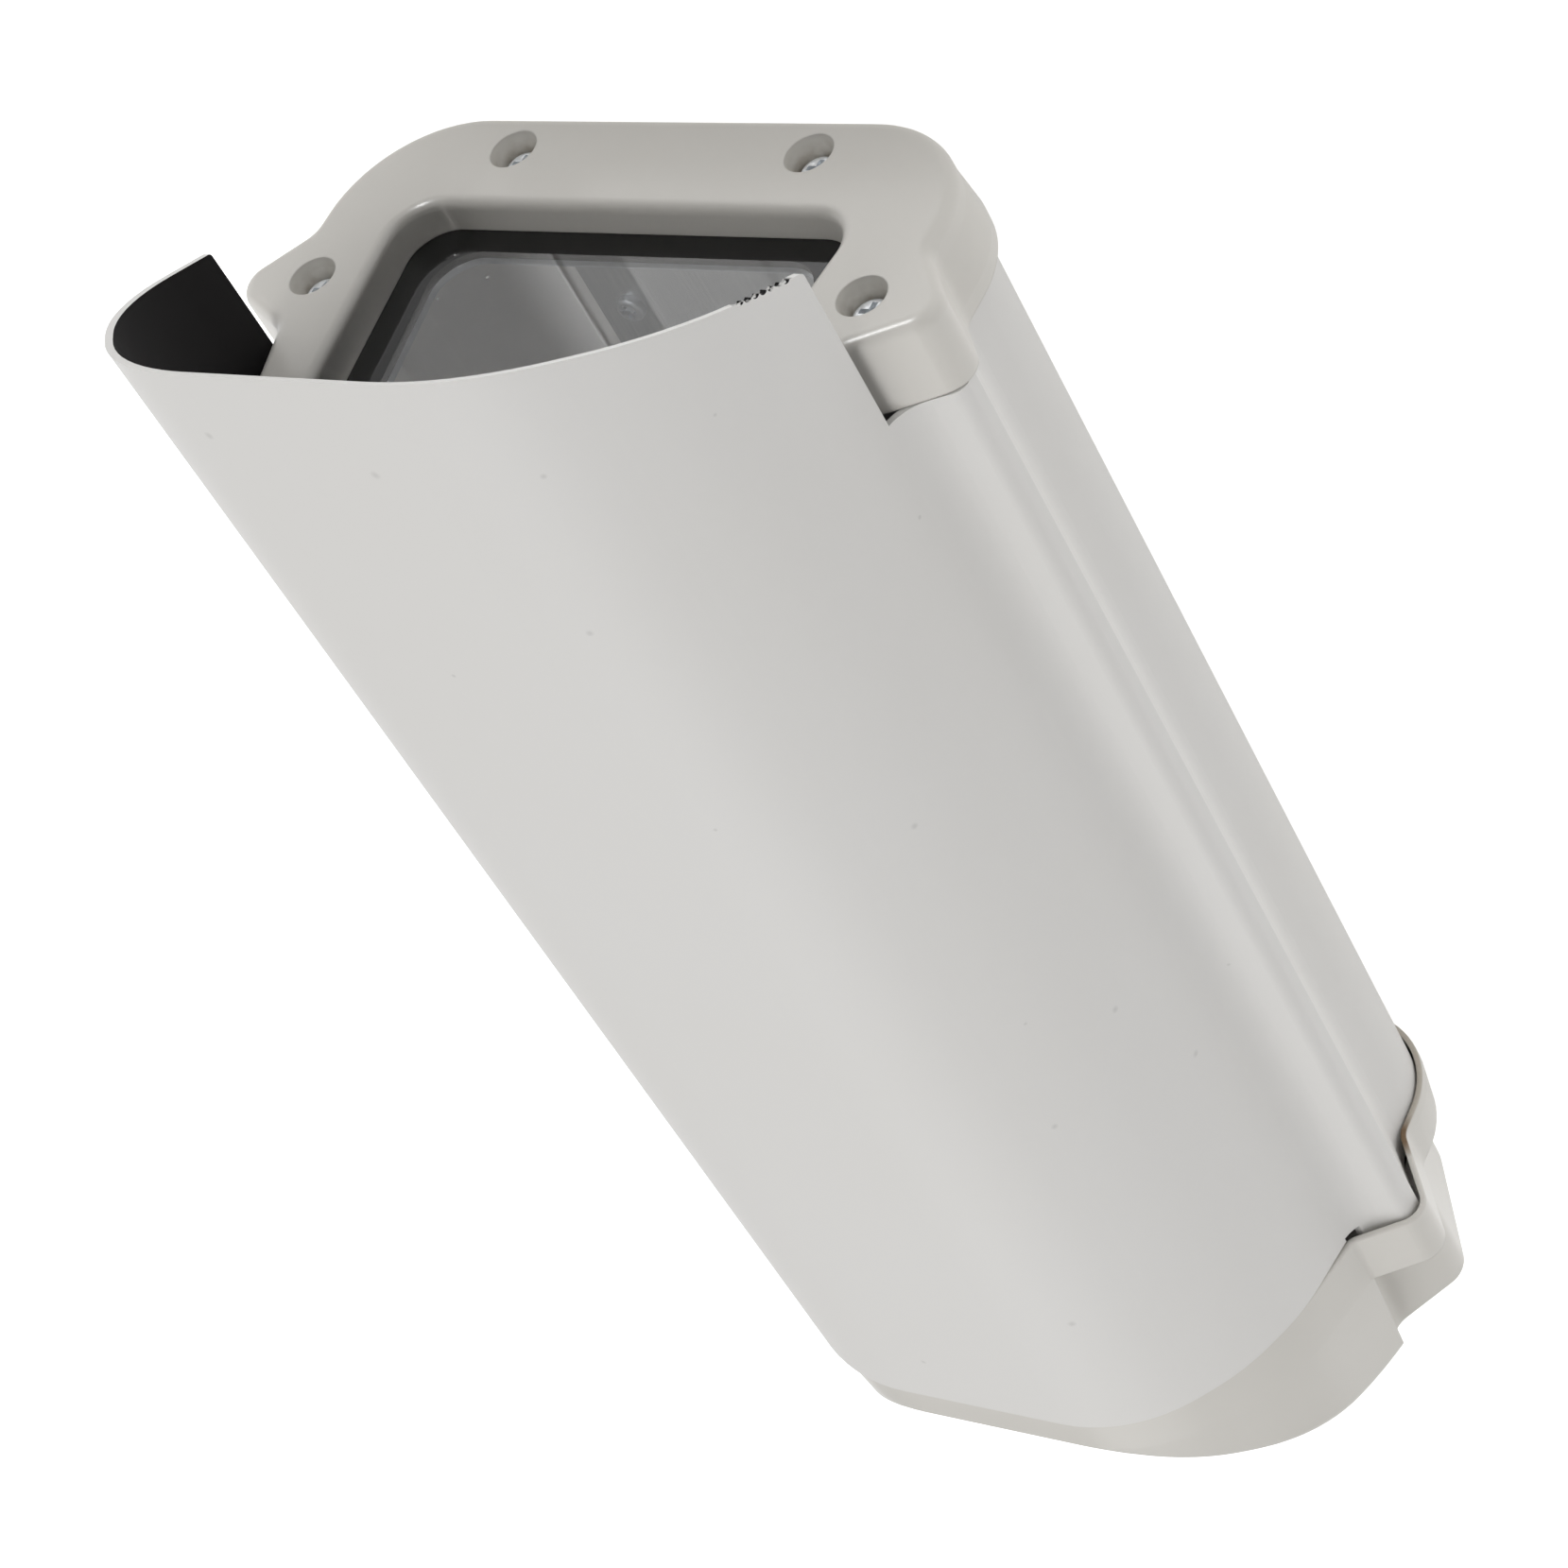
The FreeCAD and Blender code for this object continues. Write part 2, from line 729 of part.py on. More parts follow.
def rear_cap():
    """Moulded cup: a band over the tube, a deep lower part, and a cowl that closes the shield."""
    join = rear_rim + band_depth
    bend = rear_rim + band_straight
    rim = slab(rear_outline(1), rear_rim, bend)
    rim = rim.makeFillet(rear_edge_round, edges_at(rim, rear_rim))
    band = merged([rim, taper(rear_outline(1), bend, rear_outline(0), join)])
    tier = slab(tier_outline(), join - 1, rear_cap_face)
    tier = tier.makeFillet(tier_edge_round, edges_at(tier, rear_cap_face))
    cowl = taper(cowl_outline(0), join, cowl_outline(cowl_draft), rear_cap_face)
    cowl = cowl.common(back_profile(0))
    cowl = cowl.makeFillet(cowl_edge_round, back_edges(cowl))
    body = merged([band, tier, cowl]).common(back_profile(0))
    pocket = slab(moved_in(rear_outline(1), rear_skirt_wall), rear_rim - 1, rear_land)
    land = slab(moved_in(tube_outline, land_width), rear_land - 1, join)
    back = rear_cap_face - rear_face_wall
    low_room = slab(moved_in(tier_outline(), rear_wall), join - 1, back)
    top_room = slab(moved_in(cowl_outline(cowl_draft), rear_wall), join - 1, back)
    doorway = tier_top_x - rear_wall
    between = block(-doorway, doorway, join - 1, back, tier_root_z, cowl_foot_z + 2 * rear_wall)
    rooms = merged([low_room, top_room, between]).common(back_profile(rear_face_wall))
    body = body.cut([pocket, land, rooms])
    posts = merged([rod(post_radius, x, z, rear_land, back + 1) for x, z in screw_points])
    posts = posts.common(merged([slab(tube_outline, rear_land, join),
                                 slab(tier_outline(), join - 1, back + 1)]))
    body = merged([body, posts])
    cutters = [rod(rear_counterbore_radius, x, z, rear_seat(), rear_cap_face + 1)
               for x, z in screw_points]
    cutters += [rod(screw_radius + screw_clearance, x, z, rear_rim, rear_cap_face)
                for x, z in screw_points]
    cutters += [rod(gland_thread_radius + gland_play, side * gland_x, gland_z, back - 1,
                    rear_cap_face + 1) for side in (1, -1)]
    return body.cut(cutters)


# Cable glands

def hexagon(flat, x, z, start, end):
    """A six-sided bar along the depth, from its centre-to-flat size."""
    reach = flat / math.cos(math.pi / 6)
    points = [place(x + reach * math.cos(math.pi / 3 * i), start, z + reach * math.sin(math.pi / 3 * i))
              for i in range(6)]
    return Part.Face(Part.makePolygon(points + points[:1])).extrude(Vector(0, end - start, 0))


def pair(make):
    """The same piece at both cable glands."""
    return Part.Compound([make(side * gland_x) for side in (1, -1)])


def gland_flange():
    return rear_cap_face + gland_seal_thick


def gland_shoulder():
    return gland_flange() + gland_hex_height


def gland_body(x):
    inner_end = rear_cap_face - rear_face_wall - gland_tail
    shape = merged([hexagon(gland_hex, x, gland_z, gland_flange(), gland_shoulder()),
                    rod(gland_thread_radius, x, gland_z, inner_end, gland_flange()),
                    rod(gland_neck_radius, x, gland_z, gland_shoulder(),
                        gland_shoulder() + gland_neck_height)])
    wide = gland_shoulder() + gland_neck_height - gland_insert_length
    return shape.cut([rod(gland_bore_radius, x, gland_z, inner_end - 1, wide),
                      rod(gland_insert_radius + gland_insert_wall, x, gland_z, wide,
                          gland_shoulder() + gland_neck_height + 1)])


def gland_insert(x):
    end = gland_shoulder() + gland_neck_height
    start = end - gland_insert_length
    return rod(gland_insert_radius + gland_insert_wall, x, gland_z, start, end).cut(
        rod(gland_insert_radius, x, gland_z, start - 1, end + 1))


def gland_nut(x):
    start, end = gland_shoulder(), gland_shoulder() + gland_nut_height
    shape = hexagon(gland_nut_hex, x, gland_z, start, end)
    dome = rod(gland_nut_hex / math.cos(math.pi / 6), x, gland_z, start, end)
    dome = dome.makeFillet(gland_nut_dome, edges_at(dome, end))
    shape = shape.common(dome)
    return shape.cut([rod(gland_neck_radius + gland_play, x, gland_z, start - 1,
                          start + gland_neck_height + gland_play),
                      rod(gland_nut_mouth, x, gland_z, start, end + 1)])


def gland_seal(x):
    ring_radius = gland_hex
    return rod(ring_radius, x, gland_z, rear_cap_face, gland_flange()).cut(
        rod(gland_thread_radius + gland_play, x, gland_z, rear_cap_face - 1, gland_flange() + 1))


def gland_locknut(x):
    end = rear_cap_face - rear_face_wall
    return hexagon(locknut_hex, x, gland_z, end - locknut_height, end).cut(
        rod(gland_thread_radius + thread_gap, x, gland_z, end - locknut_height - 1, end + 1))


# Camera tray and what it carries

def tray_bottom():
    return tube_floor() + rib_height


def camera_tray():
    """Sheet sled with a long slot, so that the camera can be set back or forward."""
    low = tray_bottom()
    high = low + tray_thick
    plate = block(-tray_half, tray_half, tray_start, tray_end, low, high)
    slot = merged([block(-slot_half, slot_half, slot_start, slot_end, low - 1, high + 1),
                   post(slot_half, 0, slot_start, low - 1, high + 1),
                   post(slot_half, 0, slot_end, low - 1, high + 1)])
    holes = [post(tray_screw_radius + screw_clearance, x, d, low - 1, high + 1)
             for x, d in tray_screw_points()]
    holes.append(post(screw_radius + screw_clearance, earth_x, earth_depth, low - 1, high + 1))
    return plate.cut([slot] + holes)


def upright_head(radius, height, x, depth, low, up):
    """A domed, cross-recessed head on a vertical axis, with its flat side at the low height."""
    bottom, top = sorted((low, low + up * height))
    head = post(radius, x, depth, bottom, top)
    crown = low + up * height
    rim = [e for e in head.Edges if abs(e.BoundBox.ZMin - screw_line_height - crown) < 0.01
           and abs(e.BoundBox.ZMax - screw_line_height - crown) < 0.01]
    head = head.makeFillet(height / 2, rim)
    arm = radius * recess_reach
    half = recess_width / 2
    a, b = sorted((crown - up * height / 2, crown + up))
    return head.cut([block(x - arm, x + arm, depth - half, depth + half, a, b),
                     block(x - half, x + half, depth - arm, depth + arm, a, b)])


def tray_screw_set():
    screws = []
    seat = tray_bottom() + tray_thick
    for x, depth in tray_screw_points():
        head = upright_head(tray_head_radius, tray_head_height, x, depth, seat, 1)
        shank = post(tray_screw_radius - thread_gap, x, depth, seat - tray_screw_length, seat)
        screws.append(merged([head, shank]))
    return Part.Compound(screws)


def camera_screw():
    """Quarter-inch screw with a knurled head under the tray and a neck through its slot."""
    low = tray_bottom()
    head = post(camera_head_radius, 0, camera_screw_depth, low - camera_head_height, low)
    notches = []
    for i in range(knurl_count):
        angle = 2 * math.pi * i / knurl_count
        notches.append(post(knurl_radius, camera_head_radius * math.cos(angle),
                            camera_screw_depth + camera_head_radius * math.sin(angle),
                            low - camera_head_height - 1, low + 1))
    seat = low + tray_thick + washer_thick
    neck = post(camera_neck_radius, 0, camera_screw_depth, low, seat)
    thread = post(camera_thread_radius, 0, camera_screw_depth, seat, seat + camera_thread_length)
    return merged([head.cut(notches), neck, thread])


def camera_washer():
    low = tray_bottom() + tray_thick
    disc = post(washer_radius, 0, camera_screw_depth, low, low + washer_thick)
    return disc.cut(post(camera_thread_radius + thread_gap, 0, camera_screw_depth, low - 1,
                         low + washer_thick + 1))


def earth_screw():
    low = tray_bottom()
    head = upright_head(screw_head_radius, screw_head_height, earth_x, earth_depth, low, -1)
    shank = post(screw_radius - thread_gap, earth_x, earth_depth, low, low + earth_length)
    return merged([head, shank])


def earth_washer():
    low = tray_bottom() + tray_thick
    disc = post(earth_washer_radius, earth_x, earth_depth, low, low + earth_washer_thick)
    return disc.cut(post(screw_radius + thread_gap, earth_x, earth_depth, low - 1,
                         low + earth_washer_thick + 1))


def earth_nut():
    low = tray_bottom() + tray_thick + earth_washer_thick
    reach = earth_nut_flat / math.cos(math.pi / 6)
    points = [place(earth_x + reach * math.cos(math.pi / 3 * i),
                    earth_depth + reach * math.sin(math.pi / 3 * i), low) for i in range(6)]
    bar = Part.Face(Part.makePolygon(points + points[:1])).extrude(Vector(0, 0, earth_nut_height))
    return bar.cut(post(screw_radius, earth_x, earth_depth, low - 1, low + earth_nut_height + 1))


# Shared widths that need a measured outline
tube_half_width = ring(tube_outline, 0).BoundBox.XMax
roll_x = tube_half_width + roll_play + sheet

os.makedirs("parts", exist_ok=True)
save("body_tube", body_tube())
save("sunshield", sunshield())
save("front_cap", front_cap())
save("rear_cap", rear_cap())
save("window_glass", window_glass())
save("window_gasket", window_gasket())
save("window_retainer", window_retainer())
save("retainer_screws", retainer_screw_set())
save("front_gasket", end_gasket(front_land, tube_start))
save("rear_gasket", end_gasket(tube_end, rear_land))
save("front_screws", front_screws())
save("rear_screws", rear_screws())
save("camera_tray", camera_tray())
save("tray_screws", tray_screw_set())
save("camera_screw", camera_screw())
save("camera_washer", camera_washer())
save("earth_screw", earth_screw())
save("earth_washer", earth_washer())
save("earth_nut", earth_nut())
save("gland_bodies", pair(gland_body))
save("gland_inserts", pair(gland_insert))
save("gland_nuts", pair(gland_nut))
save("gland_seals", pair(gland_seal))
save("gland_locknuts", pair(gland_locknut))
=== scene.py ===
import math

import bpy
from mathutils import Matrix, Vector


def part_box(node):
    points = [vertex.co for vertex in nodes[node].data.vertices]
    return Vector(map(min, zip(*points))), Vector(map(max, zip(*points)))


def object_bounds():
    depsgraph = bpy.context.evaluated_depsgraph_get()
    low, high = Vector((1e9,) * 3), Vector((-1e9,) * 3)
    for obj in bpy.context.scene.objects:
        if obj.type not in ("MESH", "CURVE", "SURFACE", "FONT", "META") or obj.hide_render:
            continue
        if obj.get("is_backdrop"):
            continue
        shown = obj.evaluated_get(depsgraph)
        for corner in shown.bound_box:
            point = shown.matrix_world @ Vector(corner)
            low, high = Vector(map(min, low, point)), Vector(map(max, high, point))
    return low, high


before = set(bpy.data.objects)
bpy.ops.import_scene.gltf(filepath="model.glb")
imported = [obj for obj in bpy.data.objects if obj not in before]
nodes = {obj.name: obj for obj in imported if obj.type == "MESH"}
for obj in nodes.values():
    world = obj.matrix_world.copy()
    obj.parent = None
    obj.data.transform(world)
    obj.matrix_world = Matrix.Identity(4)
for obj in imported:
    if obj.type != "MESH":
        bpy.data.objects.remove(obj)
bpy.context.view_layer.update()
scene = bpy.context.scene

# Camera
# A long lens ahead of the window, to one side and above. It is rolled so far that
# the housing hangs head down across the picture.
FOCAL_LENGTH = 98.88
SENSOR_WIDTH = 36.0
NEAREST_SEEN = 0.02
CAMERA_PLACE = Vector((-0.454560, -0.556441, 0.435972))
RIGHT = Vector((-0.814175, 0.398775, -0.422016))
DOWN = Vector((-0.094900, 0.625667, 0.774296))
AHEAD = Vector((0.572811, 0.670462, -0.471559))

lens = bpy.data.cameras.new("camera")
lens.lens = FOCAL_LENGTH
lens.sensor_width = SENSOR_WIDTH
lens.clip_start = NEAREST_SEEN
camera = bpy.data.objects.new("camera", lens)
turn = Matrix((RIGHT, -DOWN, -AHEAD)).transposed().to_4x4()
camera.matrix_world = Matrix.Translation(CAMERA_PLACE) @ turn
scene.collection.objects.link(camera)
scene.camera = camera
scene.view_settings.view_transform = "Standard"

# Body tube
# Extruded aluminium, powder coated white and baked. The coat flows into a smooth
# satin skin with a faint orange peel about a millimetre across, its tone drifts a
# little from place to place, and a few specks of dust are baked into it.
PEEL_WIDTH = 0.0012
PEEL_HEIGHT = 0.000004
TONE_WIDTH = 0.09
SPECK_SPACING = 0.024
SPECK_RADIUS = 0.0005
SPECK_STRENGTH = 0.2
COAT_WHITE = "#E9E8E6"
COAT_WARM = "#E7E5E1"
SPECK_GREY = "#8E8C88"
COAT_ROUGHNESS = 0.42
COAT_SPECULAR = 0.28
RELIEF_STRENGTH = 0.6

# A Mix node's sockets for colours share their names with its other sockets, so they
# go by number.
FACTOR, FIRST, SECOND, MIXED = 0, 6, 7, 2


def linear(colour):
    """A hex colour, as seen on a screen, in the renderer's linear values."""
    channels = [int(colour[i:i + 2], 16) / 255 for i in (1, 3, 5)]
    return [c / 12.92 if c <= 0.04045 else ((c + 0.055) / 1.055) ** 2.4 for c in channels] + [1.0]


def add(material, kind, settings=None, links=None, out=None):
    """One node with its settings, and with its inputs linked from other sockets. With
    out given, the call returns that output of the node."""
    node = material.node_tree.nodes.new("ShaderNode" + kind)
    for name, value in (settings or {}).items():
        if isinstance(name, int) or name in node.inputs:
            node.inputs[name].default_value = value
        else:
            setattr(node, name, value)
    for name, socket in (links or {}).items():
        material.node_tree.links.new(node.inputs[name], socket)
    return node if out is None else node.outputs[out]


def finish_named(name, roughness, metallic=0.0):
    """A new material with its surface shader, and the place on the object in metres."""
    material = bpy.data.materials.new(name)
    material.use_nodes = True
    skin = material.node_tree.nodes["Principled BSDF"]
    skin.inputs["Roughness"].default_value = roughness
    skin.inputs["Metallic"].default_value = metallic
    return material, skin, add(material, "TexCoord", out="Object")


def finish(material, skin, colour, height, depth, strength=RELIEF_STRENGTH, under=None):
    """Links a colour and a raised pattern of the given depth to a surface."""
    heights = {"Height": height} if under is None else {"Height": height, "Normal": under}
    raised = add(material, "Bump", {"Strength": strength, "Distance": depth}, heights, "Normal")
    material.node_tree.links.new(skin.inputs["Normal"], raised)
    material.node_tree.links.new(skin.inputs["Base Color"], colour)


def powder_coat(name, inside=None, placed_specks=()):
    """White polyester powder coat: tone, baked-in dust and orange peel, and on the
    sheet the black sprayed inside."""
    material, skin, place = finish_named(name, COAT_ROUGHNESS)
    skin.inputs["Specular IOR Level"].default_value = COAT_SPECULAR
    tone = add(material, "TexNoise", {"Scale": 1 / TONE_WIDTH, "Detail": 2.0}, {"Vector": place}, "Fac")
    colour = add(material, "Mix",
                 {"data_type": "RGBA", FIRST: linear(COAT_WHITE), SECOND: linear(COAT_WARM)},
                 {FACTOR: tone}, MIXED)
    away = add(material, "TexVoronoi", {"Scale": 1 / SPECK_SPACING}, {"Vector": place}, "Distance")
    edge = SPECK_RADIUS / SPECK_SPACING
    dust = add(material, "MapRange", {"From Min": edge, "From Max": edge / 2}, {"Value": away}, "Result")
    for centre, radius in placed_specks:
        away = add(material, "VectorMath", {"operation": "DISTANCE", 1: centre}, {0: place}, "Value")
        spot = add(material, "MapRange", {"From Min": radius, "From Max": radius / 4}, {"Value": away},
                   "Result")
        dust = add(material, "Math", {"operation": "MAXIMUM"}, {0: dust, 1: spot}, "Value")
    faint = add(material, "Math", {"operation": "MULTIPLY", 1: SPECK_STRENGTH}, {0: dust}, "Value")
    colour = add(material, "Mix", {"data_type": "RGBA", SECOND: linear(SPECK_GREY)},
                 {FACTOR: faint, FIRST: colour}, MIXED)
    if inside is not None:
        black, rough = inside(material, place)
        colour = add(material, "Mix", {"data_type": "RGBA", SECOND: linear(INSIDE_BLACK)},
                     {FACTOR: black, FIRST: colour}, MIXED)
        material.node_tree.links.new(skin.inputs["Roughness"], rough)
    peel = add(material, "TexNoise", {"Scale": 1 / PEEL_WIDTH, "Detail": 1.0}, {"Vector": place}, "Fac")
    finish(material, skin, colour, peel, PEEL_HEIGHT)
    return material


def dress(material, *names):
    """Gives a material to CAD nodes."""
    for name in names:
        nodes[name].data.materials[0] = material


dress(powder_coat("powder_coated_extrusion"), "body_tube")

# Sunshield
# One bent sheet of aluminium, powder coated outside and sprayed matte black inside
# against glare. Its cut edges keep the white coat, apart from black chips along the
# punched front edge on its left.
INSIDE_BLACK = "#191718"
SPRAYED_ROUGHNESS = 0.92
SHIELD_AXIS_HEIGHT = 0.045
CUT_EDGE_FACING = 0.5

# Here and below, a pair gives where a change starts and where it is complete.
CHIPPED_LOW = (0.057, 0.058)
CHIPPED_HIGH = (0.070, 0.068)
CHIP_FACING = (-0.2, -0.4)
CHIP_LEFT = (-0.030, -0.035)
CHIP_LEVEL = (0.44, 0.5)
CHIP_WIDTH = 0.0014

# Specks of dust where they are seen, each with its place and radius in millimetres.
SHIELD_SPECKS = [
    ((21.5, -165.0, 105.9), 1.0), ((-9.5, -158.2, 106.0), 1.1), ((-38.3, -154.5, 100.8), 0.7),
    ((-30.6, -120.2, 104.2), 0.8), ((-29.9, -69.3, 104.4), 0.5), ((-53.6, -51.8, 86.6), 0.8),
    ((-60.0, 16.7, 74.0), 0.9), ((-62.1, 43.6, 64.1), 0.9), ((-49.2, 31.2, 91.8), 0.8),
    ((-35.1, 85.9, 102.5), 1.0), ((7.3, 107.6, 106.0), 0.7),
]


def in_metres(specks):
    """Specks with their places and radii turned from millimetres to metres."""
    return [([c / 1000 for c in centre], radius / 1000) for centre, radius in specks]


def sprayed_inside(material, place):
    """Where the sheet is black, and its roughness: the face that looks at the housing,
    without the cut edges but with their chips."""
    facing = add(material, "NewGeometry", out="Normal")
    across = add(material, "VectorMath", {"operation": "MULTIPLY", 1: (1, 0, 1)}, {0: facing}, "Vector")
    from_axis = add(material, "VectorMath", {"operation": "SUBTRACT", 1: (0, 0, SHIELD_AXIS_HEIGHT)},
                    {0: place}, "Vector")
    outward = add(material, "VectorMath", {"operation": "DOT_PRODUCT"}, {0: across, 1: from_axis}, "Value")
    inward = add(material, "Math", {"operation": "LESS_THAN", 1: 0.0}, {0: outward}, "Value")
    lengthwise = add(material, "SeparateXYZ", links={0: facing}, out="Y")
    endwise = add(material, "Math", {"operation": "ABSOLUTE"}, {0: lengthwise}, "Value")
    on_sheet = add(material, "Math", {"operation": "LESS_THAN", 1: CUT_EDGE_FACING}, {0: endwise}, "Value")
    black = add(material, "Math", {"operation": "MULTIPLY"}, {0: inward, 1: on_sheet}, "Value")

    spot = add(material, "SeparateXYZ", links={0: place})
    chips = add(material, "TexNoise", {"Scale": 1 / CHIP_WIDTH, "Detail": 2.0}, {"Vector": place}, "Fac")
    limits = (
        (spot.outputs["Z"], *CHIPPED_LOW),
        (spot.outputs["Z"], *CHIPPED_HIGH),
        (lengthwise, *CHIP_FACING),
        (spot.outputs["X"], *CHIP_LEFT),
        (chips, *CHIP_LEVEL),
    )
    chipped = None
    for value, none, full in limits:
        share = add(material, "MapRange", {"From Min": none, "From Max": full}, {"Value": value}, "Result")
        if chipped is None:
            chipped = share
        else:
            chipped = add(material, "Math", {"operation": "MULTIPLY"}, {0: chipped, 1: share}, "Value")
    black = add(material, "Math", {"operation": "MAXIMUM"}, {0: black, 1: chipped}, "Value")
    rough = add(material, "MapRange", {"To Min": COAT_ROUGHNESS, "To Max": SPRAYED_ROUGHNESS},
                {"Value": black}, "Result")
    return black, rough


dress(powder_coat("powder_coated_sheet", sprayed_inside, in_metres(SHIELD_SPECKS)), "sunshield")

# Front cap
# Moulded in ABS, a warm light grey, in a tool with a fine spark-eroded grain that
# leaves the faces matte, drawn coarser than it is so that it shows. The edges are
# slightly soft. Inside the holes that sink the screw heads, the colour turns darker
# and browner the deeper it goes, in patches.
ABS_GREY = "#E0DDD7"
ABS_DEEP = "#DAD7D0"
HOLE_DEEP_BROWN = "#8A7C68"
ABS_ROUGHNESS = 0.28
ABS_IOR = 1.53
ABS_SPECULAR = 0.45
GRAIN_WIDTH = 0.0005
GRAIN_HEIGHT = 0.000006
GRAIN_STRENGTH = 0.5
MOTTLE_WIDTH = 0.03
SOFT_EDGE = 0.0005
EDGE_SAMPLES = 4
SINK_PLACES = [(0.059, 0.0418), (-0.059, 0.0418), (0.032, 0.0095), (-0.032, 0.0095)]
SINK_EDGE = (0.00485, 0.00465)
HOLE_DARKENING_DEPTH = (0.0010, 0.0060)
HOLE_PATCH_WIDTH = 0.0035
HOLE_PATCH_LEVEL = (0.35, 0.7)


def moulded_abs(name):
    """Grained ABS before its colour is linked: the material, the place on it, its
    drifting tone, and a function that finishes it with a colour."""
    material, skin, place = finish_named(name, ABS_ROUGHNESS)
    skin.inputs["IOR"].default_value = ABS_IOR
    skin.inputs["Specular IOR Level"].default_value = ABS_SPECULAR
    mottle = add(material, "TexNoise", {"Scale": 1 / MOTTLE_WIDTH, "Detail": 3.0}, {"Vector": place}, "Fac")
    tone = add(material, "Mix", {"data_type": "RGBA", FIRST: linear(ABS_GREY), SECOND: linear(ABS_DEEP)},
               {FACTOR: mottle}, MIXED)

    def complete(final):
        grain = add(material, "TexNoise", {"Scale": 1 / GRAIN_WIDTH, "Detail": 2.0}, {"Vector": place}, "Fac")
        soft = add(material, "Bevel", {"samples": EDGE_SAMPLES, "Radius": SOFT_EDGE}, out="Normal")
        finish(material, skin, final, grain, GRAIN_HEIGHT, GRAIN_STRENGTH, soft)
        return material

    return material, place, tone, complete


material, place, tone, complete = moulded_abs("moulded_abs_front")
in_hole = None
for x, z in SINK_PLACES:
    centre = add(material, "VectorMath", {"operation": "SUBTRACT", 1: (x, 0, z)}, {0: place}, "Vector")
    flat = add(material, "VectorMath", {"operation": "MULTIPLY", 1: (1, 0, 1)}, {0: centre}, "Vector")
    reach = add(material, "VectorMath", {"operation": "LENGTH"}, {0: flat}, "Value")
    hole = add(material, "MapRange", {"From Min": SINK_EDGE[0], "From Max": SINK_EDGE[1]},
               {"Value": reach}, "Result")
    if in_hole is None:
        in_hole = hole
    else:
        in_hole = add(material, "Math", {"operation": "MAXIMUM"}, {0: in_hole, 1: hole}, "Value")
# Deeper inside the screw holes the colour turns darker and browner, in patches.
cap_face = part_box("front_cap")[0][1]
depth = add(material, "SeparateXYZ", links={0: place}, out="Y")
below = add(material, "MapRange",
            {"From Min": cap_face + HOLE_DARKENING_DEPTH[0], "From Max": cap_face + HOLE_DARKENING_DEPTH[1]},
            {"Value": depth}, "Result")
hole_patches = add(material, "TexNoise", {"Scale": 1 / HOLE_PATCH_WIDTH, "Detail": 3.0}, {"Vector": place}, "Fac")
patchy = add(material, "MapRange", {"From Min": HOLE_PATCH_LEVEL[0], "From Max": HOLE_PATCH_LEVEL[1]},
             {"Value": hole_patches}, "Result")
deep_in_hole = add(material, "Math", {"operation": "MULTIPLY"}, {0: in_hole, 1: below}, "Value")
hole_darkening = add(material, "Math", {"operation": "MULTIPLY"}, {0: deep_in_hole, 1: patchy}, "Value")
darkened_in_holes = add(material, "Mix", {"data_type": "RGBA", SECOND: linear(HOLE_DEEP_BROWN)},
            {FACTOR: hole_darkening, FIRST: tone}, MIXED)
dress(complete(darkened_in_holes), "front_cap")

# Rear cap
# The same ABS and grain. The low part of the narrow rim face that meets the tube is
# painted a darker tan: painted shade of the crevice there, together with some dirt.
# A brown stain lies where the rim turns at the root of the left boss.
RIM_SHADE_TAN = "#C6BFB3"
RIM_DEPTH = (0.0009, 0.0003)
RIM_FACING = (-0.4, -0.8)
RIM_DARKENED_BELOW = (0.0330, 0.0315)
STAIN_BROWN = "#7E654A"
STAIN_PLACE = (-0.0653, 0.1202, 0.0287)
STAIN_EDGE = (0.0055, 0.00165)

material, place, tone, complete = moulded_abs("moulded_abs_rear")
rim_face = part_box("rear_cap")[0][1]
spot = add(material, "SeparateXYZ", links={0: place})
facing = add(material, "NewGeometry", out="Normal")
lengthwise = add(material, "SeparateXYZ", links={0: facing}, out="Y")
at_face = add(material, "MapRange",
              {"From Min": rim_face + RIM_DEPTH[0], "From Max": rim_face + RIM_DEPTH[1]},
              {"Value": spot.outputs["Y"]}, "Result")
ahead = add(material, "MapRange", {"From Min": RIM_FACING[0], "From Max": RIM_FACING[1]},
            {"Value": lengthwise}, "Result")
at_rim = add(material, "Math", {"operation": "MULTIPLY"}, {0: at_face, 1: ahead}, "Value")
# Below this height the rim face is painted darker tan: painted shade of the crevice, with some dirt.
low = add(material, "MapRange", {"From Min": RIM_DARKENED_BELOW[0], "From Max": RIM_DARKENED_BELOW[1]},
          {"Value": spot.outputs["Z"]}, "Result")
rim_shade_and_dirt = add(material, "Math", {"operation": "MULTIPLY"}, {0: at_rim, 1: low}, "Value")
colour = add(material, "Mix", {"data_type": "RGBA", SECOND: linear(RIM_SHADE_TAN)},
             {FACTOR: rim_shade_and_dirt, FIRST: tone}, MIXED)
away = add(material, "VectorMath", {"operation": "DISTANCE", 1: STAIN_PLACE}, {0: place}, "Value")
near = add(material, "MapRange", {"From Min": STAIN_EDGE[0], "From Max": STAIN_EDGE[1]},
           {"Value": away}, "Result")
stain = add(material, "Math", {"operation": "MULTIPLY"}, {0: near, 1: at_rim}, "Value")
stained = add(material, "Mix", {"data_type": "RGBA", SECOND: linear(STAIN_BROWN)},
              {FACTOR: stain, FIRST: colour}, MIXED)
dress(complete(stained), "rear_cap")

# Window
# Clear float glass 3 mm thick, with two specks of dust on it. It is pressed against
# the front cap's lip, and the black foam behind it shows as a dark border.
DUST_SPECKS = [((27.3, -127.8, 34.2), 0.35), ((35.3, -127.8, 39.8), 0.3)]
DUST_GREY = "#B8B8B4"
CLEAR_WHITE = "#FFFFFF"
GLASS_IOR = 1.52
GLASS_ROUGHNESS = 0.0

